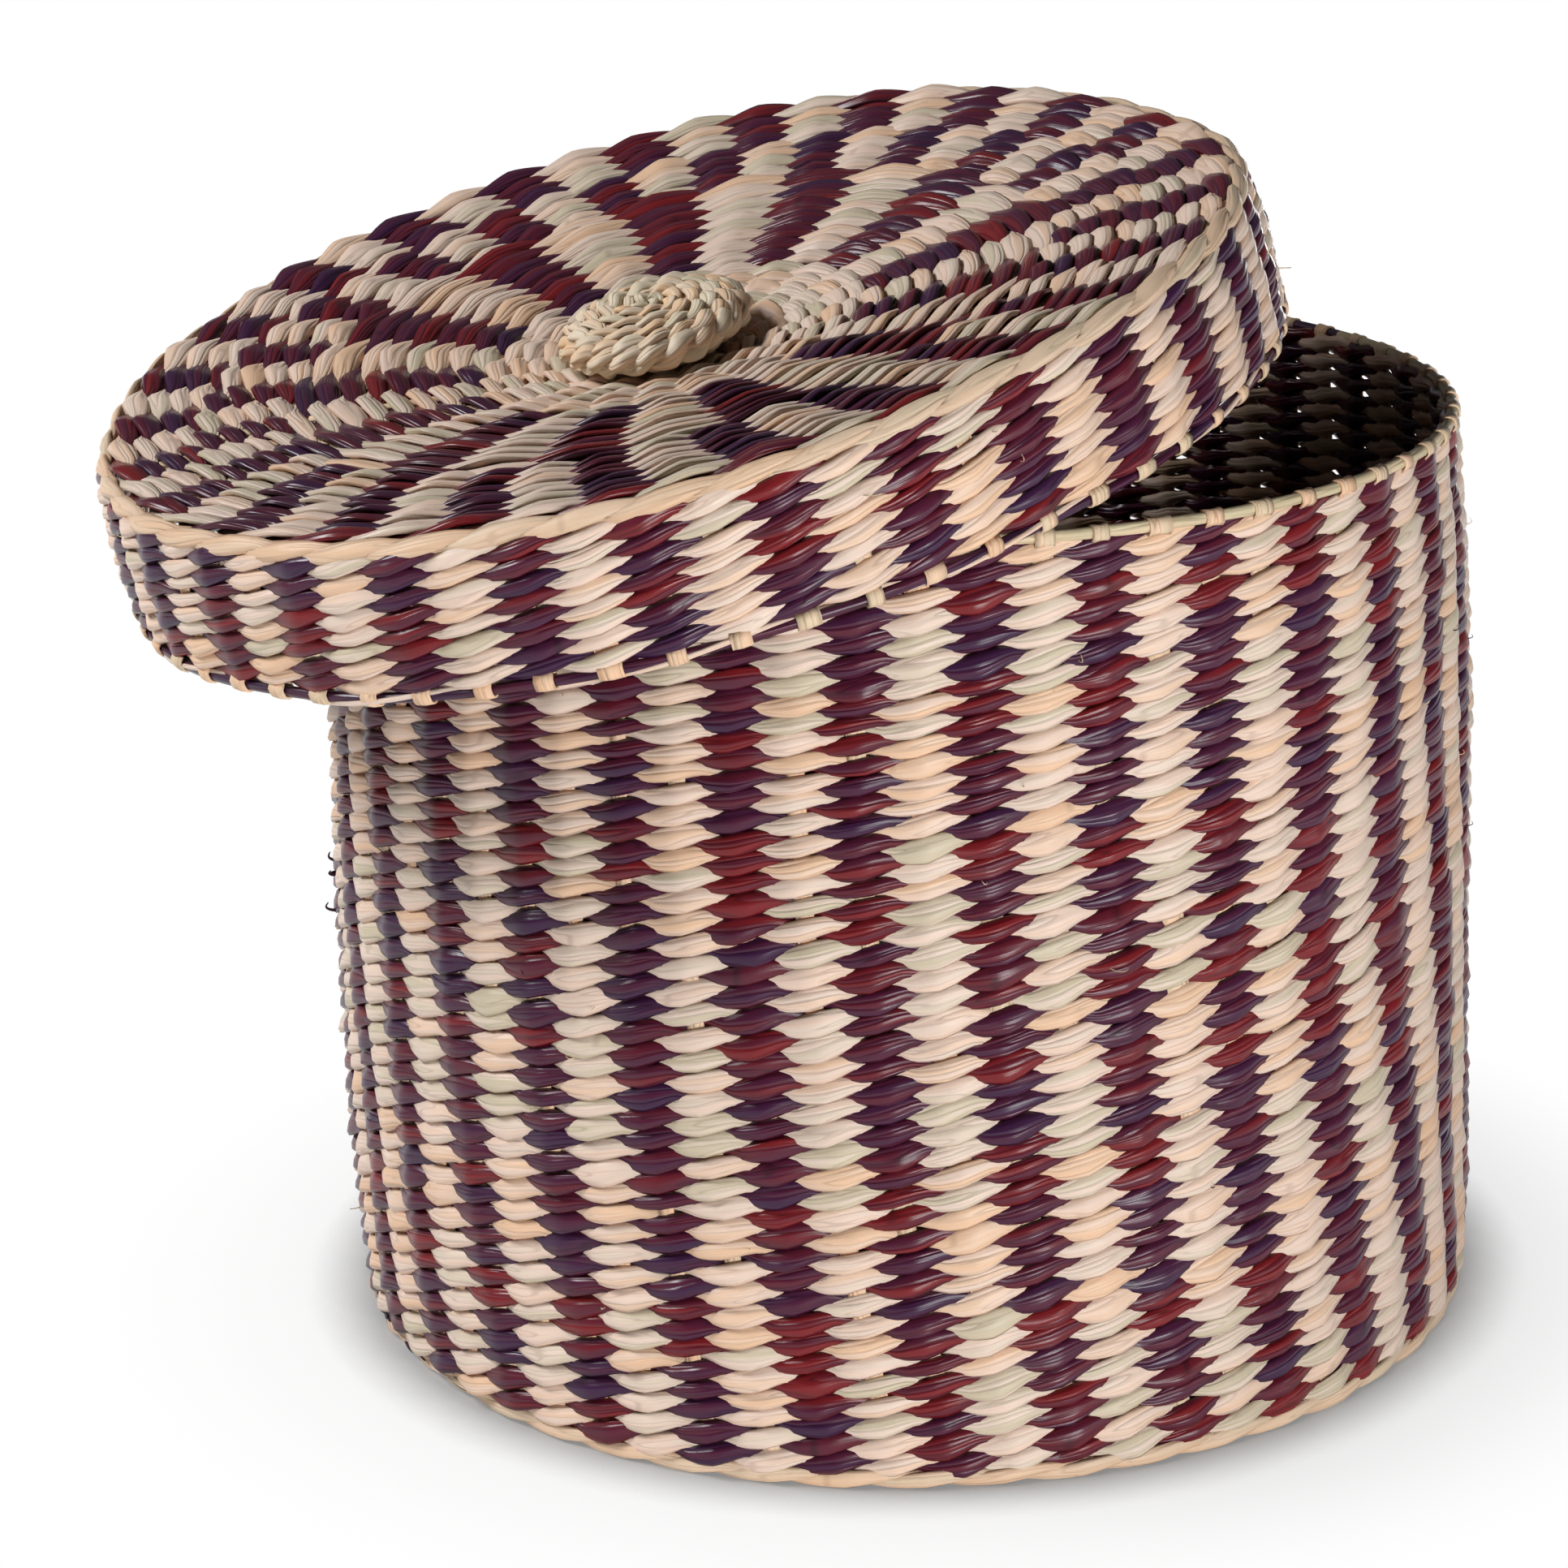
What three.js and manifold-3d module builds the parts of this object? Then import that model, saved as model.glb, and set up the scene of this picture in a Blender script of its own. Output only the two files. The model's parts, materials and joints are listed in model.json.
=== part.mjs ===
// A lidded storage basket, twined from flat sedge strands round a fan of stakes.
// Lengths are in millimetres and +Z is up. The origin is on the floor, under the basket's middle.
// The lid lies ajar: it leans to the left across the rim, as it was set down for its picture.
import * as THREE from 'three';
import Module from 'manifold-3d';
import { mergeVertices } from 'three/addons/utils/BufferGeometryUtils.js';

const wasm = await Module();
wasm.setup();

// Basket, outside sizes
const basketHeight = 206;      // floor to the top of the folded stake ends
const basketRadius = 128.1;    // outside of the wall, carried down to the floor
const wallSwell = 2.15;        // how far the wall bows out between floor and rim
const wallTaper = 3.1;         // how much narrower the wall is at the full height

// Weave and stakes
const wallWeave = 2.4;         // thickness of the twined wall and of the lid's skirt
const discWeave = 2.6;         // thickness of the twined base and of the lid's top
const stakeCount = 62;         // stakes round the basket, and as many round the lid
const stakeWidth = 3;
const stakeThickness = 0.8;
const crossingRadius = 34;     // where the stakes cross and lie on each other
const crossingStep = 0.3;      // how much thicker the crossing is than one stake
const crossingRise = 0.1;      // how far the crossing lies off the weave, past the clearance
const rosetteRadius = 43;      // plain natural centre of the base and of the lid
const clearance = 0.3;         // between any two pieces that touch
const fibreSlack = 0.3;        // more room where a stake bends round a cord
const foldLength = 2.4;        // how far a folded end reaches past the middle of the rod

// Ribs of the weave. It stands out over each stake and falls back between two.
const ribDepth = 1.1;
const footTurn = 0.45;         // degrees from +X to the first stake, at the floor
const wallLean = 8.8;          // degrees that the stakes turn back on their way up the wall
const uprightLength = 26;      // the topmost part of the wall, where the stakes stand upright
const lidTurn = -5;            // degrees from the lid's +X to the first stake of its skirt

// The lid's top has fewer stakes near the middle, and more are laid in on the way out
const innerZone = { from: rosetteRadius, stakes: 26, turn: -7.1 };
const middleZone = { from: 86, stakes: 48, turn: -0.2 };
const outerZone = { from: 106, stakes: 50, turn: -1.3 };

// Cords and rods
const footCordRadius = 2.2;    // natural cord round the base
const lidCordRadius = 3;       // natural cord round the top of the lid
const rodRadius = 1.2;         // rod along the rim of the basket and of the lid

// Lid, outside sizes, measured from the middle plane of its cord
const lidOverhang = 5;         // how much wider the lid is than the rim, so that it slips over it
const lidFlare = 1.3;          // how much wider the skirt is at its lower edge
const lidBulge = 1.5;          // how far the skirt swells half way down
const lidDepth = 33.2;         // middle of the cord down to the folded ends
const lidDish = 13.5;          // how deep the middle of the top hangs

// Knob
const knobRadius = 21.3;
const knobHeight = 7;
const knobEdge = 2.6;          // height of the widest place of the knob over its flat underside
const knobFlat = 18;           // radius of the flat underside
const knobShoulder = 19.8;     // radius half way up from the widest place
const knobShoulderHeight = 4.8;
const knobCrown = 12.8;        // radius where the nearly flat top begins
const knobCrownHeight = 6.5;
const knobGap = 0.6;           // from the underside to the lid, where the knob leans lowest
const knobTilt = 4.5;          // degrees
const knobTiltTowards = 60;    // degrees round the lid, from the side that the lid leans to
const stalkRadius = 9;

// How the lid lies on the basket
const lidShift = 53.8;         // how far the middle of the lid lies from the middle of the basket
const lidShiftTowards = 201.3; // degrees round the basket, anticlockwise from the right
const lidLeanTowards = 202.3;  // degrees, as above
const skirtLift = 2.3;         // the skirt's uneven edge over the rim, where the two cross

// Facets
const wallLevels = 3;
const skirtLevels = 2;
const topRings = 6;
const ribFacets = 2;           // from one stake of the wall to the next
const topFacets = 150;
const cordSides = 8;
const rodSides = 6;
const knobFacets = 32;
const stalkFacets = 24;
const restPasses = 12;         // rounds that settle the lid's tilt

// Each piece gets a material of its own
const sedge = (color, roughness) => () => new THREE.MeshStandardMaterial({ color, roughness, metalness: 0 });
const strawMaterial = sedge(0xd8bf94, 0.6);
const stripedMaterial = sedge(0x8c6660, 0.55);
const stakeMaterial = sedge(0xb39667, 0.7);
const rodMaterial = sedge(0xb9ab83, 0.6);

const point = (r, z) => new THREE.Vector2(r, z);
const radians = (degrees) => THREE.MathUtils.degToRad(degrees);

// A closed outline of radius and height, turned about Z, with a corner of its facets on +X
function turned(outline, facets = stakeCount) {
  const geometry = new THREE.LatheGeometry([...outline, outline[0]], facets);
  geometry.rotateX(Math.PI / 2);
  geometry.rotateZ(Math.PI / 2);
  return geometry;
}

// A ring of round section
function hoop(radius, height, sectionRadius, sides) {
  const outline = [];
  for (let i = 0; i < sides; i += 1) {
    const angle = (2 * Math.PI * i) / sides;
    outline.push(point(radius + sectionRadius * Math.cos(angle), height + sectionRadius * Math.sin(angle)));
  }
  return turned(outline);
}

// Moves each point of a piece, by a rule from its radius, its turn about Z and its height
function reshaped(geometry, rule) {
  const points = geometry.attributes.position;
  for (let i = 0; i < points.count; i += 1) {
    const [x, y, z] = [points.getX(i), points.getY(i), points.getZ(i)];
    const { radius, turn, height } = rule(Math.hypot(x, y), Math.atan2(y, x), z);
    points.setXYZ(i, radius * Math.cos(turn), radius * Math.sin(turn), height);
  }
  geometry.computeVertexNormals();
  return geometry;
}

// How far the weave falls back at a turn about Z, when its first stake stands at turn 0
function ribFall(turn, stakes) {
  return (ribDepth * (1 - Math.cos(stakes * turn))) / 2;
}

// The outline of a flat strip of one thickness whose middle line is the path
function stripShape(path, thickness) {
  const left = [];
  const right = [];
  path.forEach((here, i) => {
    const before = path[Math.max(i - 1, 0)];
    const after = path[Math.min(i + 1, path.length - 1)];
    const inward = i > 0 ? here.clone().sub(before).normalize() : after.clone().sub(here).normalize();
    const outward = i < path.length - 1 ? after.clone().sub(here).normalize() : inward;
    const mitre = inward.clone().add(outward).normalize();
    const side = point(-mitre.y, mitre.x).multiplyScalar(thickness / 2 / mitre.dot(inward));
    left.push(here.clone().add(side));
    right.unshift(here.clone().sub(side));
  });
  return new THREE.Shape([...left, ...right]);
}

// A three.js geometry as a solid that can be joined, and back again
function solid(geometry) {
  const bare = geometry.index ? geometry.toNonIndexed() : geometry.clone();
  bare.deleteAttribute('normal');
  bare.deleteAttribute('uv');
  const merged = mergeVertices(bare, 1e-5);
  return new wasm.Manifold(new wasm.Mesh({
    numProp: 3,
    vertProperties: new Float32Array(merged.attributes.position.array),
    triVerts: new Uint32Array(merged.index.array),
  }));
}

function surface(manifold) {
  const mesh = manifold.getMesh();
  const geometry = new THREE.BufferGeometry();
  geometry.setAttribute('position', new THREE.BufferAttribute(mesh.vertProperties, 3));
  geometry.setIndex(new THREE.BufferAttribute(mesh.triVerts, 1));
  geometry.computeVertexNormals();
  return geometry;
}

// One flat stake along the path, standing in the plane at the given turn about Z
function stake(path, turn) {
  const geometry = new THREE.ExtrudeGeometry(stripShape(path, stakeThickness), {
    depth: stakeWidth,
    bevelEnabled: false,
  });
  geometry.translate(0, 0, -stakeWidth / 2);
  geometry.rotateX(Math.PI / 2);
  geometry.rotateZ(turn);
  return geometry;
}

// All the stakes of one body. They cross in the middle, where they lie on each other.
function stakeFan(path, crossing) {
  let fan = solid(turned(crossing));
  for (let i = 0; i < stakeCount; i += 1) {
    fan = fan.add(solid(stake(path, (2 * Math.PI * i) / stakeCount)));
  }
  return surface(fan);
}

function piece(name, geometry, material) {
  const mesh = new THREE.Mesh(geometry, material);
  mesh.name = name;
  return mesh;
}

// Outside of the basket's wall: it draws in to the rim and bows out a little between
function wallRadius(z) {
  const t = z / basketHeight;
  return basketRadius - wallTaper * t + 4 * wallSwell * t * (1 - t);
}

const foldReach = rodRadius + clearance + stakeThickness / 2;      // rod's middle to the stake's middle
const stakeInset = wallWeave + clearance + stakeThickness / 2;     // wall's outside to the stake's middle
const bendReach = clearance + fibreSlack + stakeThickness;         // cord's outside to the stake's middle
const rodHeight = basketHeight - foldReach - stakeThickness / 2;
const rodRing = wallRadius(rodHeight) - stakeInset + foldReach;
const wallTop = rodHeight - rodRadius - clearance;
const wallBottom = 2 * footCordRadius + clearance;
const footCordRing = basketRadius - footCordRadius;
const baseRadius = footCordRing - footCordRadius - clearance;
const wallFacets = ribFacets * stakeCount;

function levels(from, to, count) {
  return Array.from({ length: count + 1 }, (_, i) => from + ((to - from) * i) / count);
}

// How far the stakes have turned at a height. They lean back as they climb, and stand upright near the rim.
function stakeTurn(z) {
  const left = Math.max(1 - z / (basketHeight - uprightLength), 0);
  return radians(footTurn - wallLean * (1 - left ** 2));
}

const leaning = (geometry) => reshaped(geometry, (radius, turn, height) => ({
  radius,
  turn: turn + stakeTurn(height),
  height,
}));

// A twined band is ribbed on its outside, which has the given radius at each height
const ribbed = (geometry, outside) => reshaped(geometry, (radius, turn, height) => ({
  radius: radius > outside(height) - wallWeave / 2 ? radius - ribFall(turn, stakeCount) : radius,
  turn,
  height,
}));

function wallOutline() {
  const heights = levels(wallBottom, wallTop, wallLevels);
  const outside = heights.map((z) => point(wallRadius(z), z));
  const inside = heights.reverse().map((z) => point(wallRadius(z) - wallWeave, z));
  return [...outside, ...inside];
}

// The stake runs out over the base, bends up inside the foot cord, climbs the wall and folds over the rod
function basketStakePath() {
  const floor = discWeave + clearance + stakeThickness / 2;
  const diagonal = (footCordRadius + bendReach) * Math.SQRT1_2;
  const bend = point(footCordRing - diagonal, footCordRadius + diagonal);
  const start = bend.y - floor;
  const heights = levels(wallBottom, wallTop, wallLevels);
  const foot = wallRadius(bend.y) - stakeInset;
  return [
    point(crossingRadius - stakeWidth, floor),
    point(bend.x - start, floor),
    bend,
    point(foot, bend.y + foot - bend.x),
    ...heights.slice(1, -1).map((z) => point(wallRadius(z) - stakeInset, z)),
    point(rodRing - foldReach, rodHeight + foldReach),
    point(rodRing + foldReach, rodHeight + foldReach),
    point(rodRing + foldReach, rodHeight - foldLength + rodRadius),
  ];
}

// A plate of the flat base between two radii
function plate(inner, outer) {
  return [point(inner, 0), point(outer, 0), point(outer, discWeave), point(inner, discWeave)];
}

function basket() {
  const group = new THREE.Group();
  const floor = discWeave + clearance;
  const crossing = [
    point(0, floor + crossingRise),
    point(crossingRadius, floor + crossingRise),
    point(crossingRadius, floor + stakeThickness + crossingStep),
    point(0, floor + stakeThickness + crossingStep),
  ];
  group.add(
    piece('base_rosette', turned(plate(0, rosetteRadius)), strawMaterial()),
    piece('base_weave', turned(plate(rosetteRadius + clearance, baseRadius)), stripedMaterial()),
    piece('foot_cord', hoop(footCordRing, footCordRadius, footCordRadius, cordSides), strawMaterial()),
    piece('wall_weave', leaning(ribbed(turned(wallOutline(), wallFacets), wallRadius)), stripedMaterial()),
    piece('basket_stakes', leaning(stakeFan(basketStakePath(), crossing)), stakeMaterial()),
    piece('basket_rim_rod', leaning(hoop(rodRing, rodHeight, rodRadius, rodSides)), rodMaterial()),
  );
  return group;
}

// Lid, in its own frame: z is 0 in the middle plane of the cord and the skirt hangs down
const lidRadius = basketRadius - wallTaper + lidOverhang;
const lidCordRing = lidRadius - lidCordRadius;
const cordSag = lidCordRing * (1 - Math.cos(Math.PI / stakeCount));  // how far a facet of the cord cuts in
const topRadius = lidCordRing - lidCordRadius - clearance - cordSag;
const dishHeight = (r) => -lidDish * (1 - r / topRadius);          // middle of the top's thickness
const lidRodHeight = -lidDepth + foldReach + stakeThickness / 2;
const skirtTop = -lidCordRadius - clearance;
const skirtBottom = lidRodHeight + rodRadius + clearance;

function skirtRadius(z) {
  const t = -z / lidDepth;
  return lidRadius + lidFlare * t + 4 * lidBulge * t * (1 - t);
}

const lidRodRing = skirtRadius(lidRodHeight) - stakeInset + foldReach;

function skirtOutline() {
  const heights = levels(skirtBottom, skirtTop, skirtLevels);
  const outside = heights.map((z) => point(skirtRadius(z), z));
  const inside = heights.reverse().map((z) => point(skirtRadius(z) - wallWeave, z));
  return [...outside, ...inside];
}

// A plate of the dished top between two radii, with its upper side in as many rings as asked
function dishOutline(inner, outer, lower, upper, rings = 1) {
  return [
    point(inner, dishHeight(inner) + lower),
    point(outer, dishHeight(outer) + lower),
    ...levels(outer, inner, rings).map((r) => point(r, dishHeight(r) + upper)),
  ];
}

// The top's upper side falls back between the stakes of the zone that a point lies in
function ribbedTop(geometry) {
  return reshaped(geometry, (radius, turn, height) => {
    const zone = [outerZone, middleZone, innerZone].find((one) => radius > one.from) ?? innerZone;
    const fall = height > dishHeight(radius) ? ribFall(turn - radians(zone.turn), zone.stakes) : 0;
    return { radius, turn, height: height - fall };
  });
}

// The stake runs out under the top, bends down inside the cord, follows the skirt and folds over the rod
function lidStakePath() {
  const under = discWeave / 2 + clearance + stakeThickness / 2;
  const diagonal = (lidCordRadius + bendReach) * Math.SQRT1_2;
  const bend = point(lidCordRing - diagonal, -diagonal);
  const drop = dishHeight(bend.x) - under - bend.y;
  const edge = bend.x - Math.max(drop, stakeThickness);
  const start = crossingRadius - stakeWidth;
  const reach = skirtRadius(bend.y) - stakeInset;
  const heights = levels(skirtTop, skirtBottom, skirtLevels);
  return [
    point(start, dishHeight(start) - under),
    point(edge, dishHeight(edge) - under),
    bend,
    point(reach, bend.y - (reach - bend.x)),
    ...heights.slice(1, -1).map((z) => point(skirtRadius(z) - stakeInset, z)),
    point(lidRodRing - foldReach, lidRodHeight - foldReach),
    point(lidRodRing + foldReach, lidRodHeight - foldReach),
    point(lidRodRing + foldReach, lidRodHeight + foldLength - rodRadius),
  ];
}

function knob() {
  const group = new THREE.Group();
  const cap = [
    point(0, 0),
    point(knobFlat, 0),
    point(knobRadius, knobEdge),
    point(knobShoulder, knobShoulderHeight),
    point(knobCrown, knobCrownHeight),
    point(0, knobHeight),
  ];
  const lean = Math.sin(radians(knobTilt));
  const aboveDish = (r) => discWeave / 2 + lidDish * (r / topRadius) + lean * r;
  const stand = aboveDish(knobFlat) + knobGap;
  const stalkHeight = stand - aboveDish(stalkRadius) - 2 * clearance;
  const stalk = [
    point(0, -clearance - stalkHeight),
    point(stalkRadius, -clearance - stalkHeight),
    point(stalkRadius, -clearance),
    point(0, -clearance),
  ];
  group.add(
    piece('knob_stalk', turned(stalk, stalkFacets), strawMaterial()),
    piece('knob_cap', turned(cap, knobFacets), strawMaterial()),
  );
  group.position.z = dishHeight(0) + stand;
  const turn = radians(lidLeanTowards + knobTiltTowards);
  group.quaternion.setFromAxisAngle(new THREE.Vector3(-Math.sin(turn), Math.cos(turn), 0), radians(knobTilt));
  return group;
}

// The lid lies on the rim in three places: with the stakes under its top on the side that it leans to, and
// with the edge of its skirt at the front and at the back, where the edge crosses the rim.
function lidRest() {
  const rim = rodRing + foldReach + stakeThickness / 2;
  const edge = skirtRadius(-lidDepth);
  const slope = lidDish / topRadius;
  const under = lidDish + discWeave / 2 + clearance + stakeThickness;
  let tilt = 0;
  let height = 0;
  for (let pass = 0; pass < restPasses; pass += 1) {
    const sine = Math.sin(tilt);
    const cosine = Math.cos(tilt);
    const seat = (rim - lidShift + under * sine) / (cosine + slope * sine);
    const seatDepth = under - slope * seat;
    const edgeShift = lidShift - lidDepth * sine;
    const crossing = (edgeShift ** 2 + rim ** 2 - edge ** 2) / (2 * edgeShift);
    const uphill = (edgeShift - crossing) / cosine;
    height = basketHeight + clearance + seat * sine + seatDepth * cosine;
    tilt = Math.atan((lidDepth - seatDepth + (skirtLift - clearance) / cosine) / (seat + uphill));
  }
  return { height, tilt };
}

function lid() {
  const group = new THREE.Group();
  const under = -discWeave / 2 - clearance;
  const crossing = dishOutline(
    0,
    crossingRadius,
    under - stakeThickness - crossingStep,
    under - crossingRise,
  );
  const half = discWeave / 2;
  const ring = rosetteRadius + clearance;
  const top = dishOutline(ring, topRadius, -half, half, topRings);
  const toStakes = (geometry) => geometry.rotateZ(radians(lidTurn));
  const skirt = ribbed(turned(skirtOutline(), wallFacets), skirtRadius);
  group.add(
    piece('lid_rosette', turned(dishOutline(0, rosetteRadius, -half, half)), strawMaterial()),
    piece('lid_top_weave', ribbedTop(turned(top, topFacets)), stripedMaterial()),
    piece('lid_cord', toStakes(hoop(lidCordRing, 0, lidCordRadius, cordSides)), strawMaterial()),
    piece('lid_skirt_weave', toStakes(skirt), stripedMaterial()),
    piece('lid_stakes', toStakes(stakeFan(lidStakePath(), crossing)), stakeMaterial()),
    piece('lid_rim_rod', toStakes(hoop(lidRodRing, lidRodHeight, rodRadius, rodSides)), rodMaterial()),
    knob(),
  );
  const rest = lidRest();
  const shift = radians(lidShiftTowards);
  group.position.set(lidShift * Math.cos(shift), lidShift * Math.sin(shift), rest.height);
  const turn = radians(lidLeanTowards);
  group.quaternion.setFromAxisAngle(new THREE.Vector3(-Math.sin(turn), Math.cos(turn), 0), rest.tilt);
  return group;
}

const group = new THREE.Group();
group.add(basket(), lid());

export default group;
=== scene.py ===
import itertools
import json
import math
from dataclasses import dataclass, replace
from functools import cache

import bmesh
import bpy
import numpy as np
from mathutils import Matrix, Vector

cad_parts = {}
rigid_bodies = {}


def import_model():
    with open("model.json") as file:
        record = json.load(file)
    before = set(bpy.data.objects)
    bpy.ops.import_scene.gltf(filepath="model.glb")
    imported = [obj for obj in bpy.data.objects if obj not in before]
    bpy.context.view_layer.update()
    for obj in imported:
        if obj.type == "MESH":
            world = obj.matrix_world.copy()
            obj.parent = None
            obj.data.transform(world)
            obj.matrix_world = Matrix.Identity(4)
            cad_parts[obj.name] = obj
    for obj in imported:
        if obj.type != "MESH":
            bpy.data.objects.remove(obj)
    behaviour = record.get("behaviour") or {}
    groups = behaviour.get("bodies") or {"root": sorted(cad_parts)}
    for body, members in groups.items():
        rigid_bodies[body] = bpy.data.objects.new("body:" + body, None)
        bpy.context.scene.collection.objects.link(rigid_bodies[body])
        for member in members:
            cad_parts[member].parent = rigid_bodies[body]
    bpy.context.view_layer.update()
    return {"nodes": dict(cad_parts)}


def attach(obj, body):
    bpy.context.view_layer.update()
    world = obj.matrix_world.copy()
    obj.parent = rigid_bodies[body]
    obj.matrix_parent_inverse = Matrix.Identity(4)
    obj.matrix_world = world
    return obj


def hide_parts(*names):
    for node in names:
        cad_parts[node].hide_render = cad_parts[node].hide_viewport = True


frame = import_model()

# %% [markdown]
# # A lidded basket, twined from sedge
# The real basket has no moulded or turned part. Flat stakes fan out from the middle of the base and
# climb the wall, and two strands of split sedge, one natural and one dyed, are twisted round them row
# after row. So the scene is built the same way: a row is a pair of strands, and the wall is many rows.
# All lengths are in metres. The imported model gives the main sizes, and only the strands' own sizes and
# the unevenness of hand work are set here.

mm = 0.001
up = Vector((0, 0, 1))

# %% [markdown]
# ## Camera
# The photograph was taken with a long lens, a little from above and slightly rolled. The camera comes
# first, because everything else is seen through it. It stands where the rim, the base and the sides
# of the basket fall on their places in the photograph.

# %% Camera at the photograph's angle
camera_place = Vector((-26.55, -1011.28, 433.94)) * mm
looks_down = 17.478      # degrees
rolls = -1.454
camera_data = bpy.data.cameras.new("camera")
camera_data.lens = 106.1             # in mm, for a sensor 36 mm wide
camera_data.sensor_width = 36
camera = bpy.data.objects.new("camera", camera_data)
camera.matrix_world = (
    Matrix.Translation(camera_place)
    @ Matrix.Rotation(math.radians(90 - looks_down), 4, "X")
    @ Matrix.Rotation(math.radians(rolls), 4, "Z")
)
bpy.context.scene.collection.objects.link(camera)
bpy.context.scene.camera = camera
print("camera is", round(camera_place.length, 2), "m from the middle of the base")

# %% [markdown]
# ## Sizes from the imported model
# The wall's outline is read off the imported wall, so the weave can't drift away from it. The lid lies
# tilted, so it is measured in a frame of its own: the plane of its edge cord. All the points of a round
# cord lie near one plane, and the direction in which they spread least is the lid's axis.

# %% Frames of the basket and of the lid
def points_of(mesh):
    """The points of a mesh, as rows of x, y, z."""
    flat = np.empty(len(mesh.vertices) * 3)
    mesh.vertices.foreach_get("co", flat)
    return flat.reshape(-1, 3)


def plane_frame(node):
    """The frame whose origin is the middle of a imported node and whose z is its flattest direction."""
    points = points_of(frame["nodes"][node].data)
    middle = points.mean(0)
    axes = np.linalg.svd(points - middle, full_matrices=False)[2]
    normal = Vector(axes[2]) if axes[2][2] > 0 else -Vector(axes[2])
    return Matrix.LocRotScale(Vector(middle), up.rotation_difference(normal), None)


basket_place = Matrix.Identity(4)
lid_place = plane_frame("lid_cord")
lid_axis = lid_place.to_3x3() @ up
print("lid is tilted by", round(math.degrees(lid_axis.angle(up)), 2), "degrees")

# %% Curves through the rings of the wall and of the skirt
def outline(node, place):
    """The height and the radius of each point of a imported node, in the frame of place."""
    inverse = np.array(place.inverted())
    local = points_of(frame["nodes"][node].data) @ inverse[:3, :3].T + inverse[:3, 3]
    return local[:, 2], np.hypot(local[:, 0], local[:, 1])


def outside_curve(node, place):
    """The outside radius as a curve of the height, and the heights of the lowest and the highest ring."""
    height, radius = outline(node, place)
    levels = np.unique(height.round(4))
    widest = [radius[np.abs(height - level) < mm / 2].max() for level in levels]
    return np.polynomial.Polynomial.fit(levels, widest, 2), levels[0], levels[-1]


wall_outside, wall_bottom, wall_top = outside_curve("wall_weave", basket_place)
skirt_outside, skirt_bottom, skirt_top = outside_curve("lid_skirt_weave", lid_place)
print("wall from", round(wall_bottom / mm, 1), "to", round(wall_top / mm, 1), "mm")
print("skirt from", round(skirt_bottom / mm, 1), "to", round(skirt_top / mm, 1), "mm")

# %% Slope of the dished top
top_heights, top_radii = outline("lid_top_weave", lid_place)
top_radius = top_radii.max()
dish_inner = top_radii.min()
dish_depth = -top_heights[top_radii < dish_inner + mm].mean()
dish_slope = math.atan2(dish_depth, top_radius - dish_inner)
print("top falls by", round(math.degrees(dish_slope), 1), "degrees to the middle")

# %% [markdown]
# ## One row of twining
# In pair twining two strands run side by side. One passes in front of a stake while the other passes
# behind, and between two stakes they change places, always turning the same way. Seen from the side,
# each strand is a flat spring whose turn is two stakes long. So the tube for a strand starts as a plain
# ring, made by spinning a small circle, and then each of its points is moved outward and sideways by a
# wave. Sedge is stiff, so the wave has straight flanks and a kink over each stake, where the light
# catches. A strand is broad where it crosses a stake and is squeezed to a narrow tail behind the next
# stitch, which gives the stitches their pointed lozenge shape. Each row also overlaps the one below it
# like a shingle, so every stitch has a shadow under its lower edge. Hand work is never even, so each
# stitch gets its own small push and tone.

# %% A plain ring to start each strand from
wall_stakes = 62         # the columns seen in the photograph, carried on round the back
steps_per_stake = 8
section_sides = 8
section_radius = 0.1     # for a ring of radius 1. Any small size does, as only the angles are used


@cache
def unit_ring(stakes):
    """A thin tube round a circle of radius 1, with the angles of its points and of its face corners."""
    bm = bmesh.new()
    section = bmesh.ops.create_circle(bm, segments=section_sides, radius=section_radius)["verts"]
    bmesh.ops.rotate(bm, verts=section, cent=(0, 0, 0), matrix=Matrix.Rotation(math.pi / 2, 3, "X"))
    bmesh.ops.translate(bm, verts=section, vec=(1, 0, 0))
    bmesh.ops.spin(
        bm,
        geom=bm.verts[:] + bm.edges[:],
        cent=(0, 0, 0),
        axis=(0, 0, 1),
        angle=2 * math.pi,
        steps=stakes * steps_per_stake,
        use_merge=True,
    )
    bmesh.ops.recalc_face_normals(bm, faces=bm.faces)
    mesh = bpy.data.meshes.new(f"unit_ring_{stakes}")
    bm.to_mesh(mesh)
    bm.free()
    x, y, z = points_of(mesh).T
    along = np.arctan2(y, x)
    around = np.arctan2(z, np.hypot(x, y) - 1)
    corner = np.empty(len(mesh.loops), int)
    mesh.loops.foreach_get("vertex_index", corner)
    # A face across the seam keeps its corners side by side, so the pattern isn't stretched there
    corner_along = along[corner].reshape(-1, 4)
    face_along = np.angle(np.exp(1j * corner_along).sum(1, keepdims=True))
    corner_along = face_along + (corner_along - face_along + math.pi) % (2 * math.pi) - math.pi
    return mesh, along, around, corner, corner_along.ravel()


ring_mesh, *_ = unit_ring(wall_stakes)
print("the wall's ring has", len(ring_mesh.vertices), "points and", len(ring_mesh.polygons), "faces")

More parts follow.
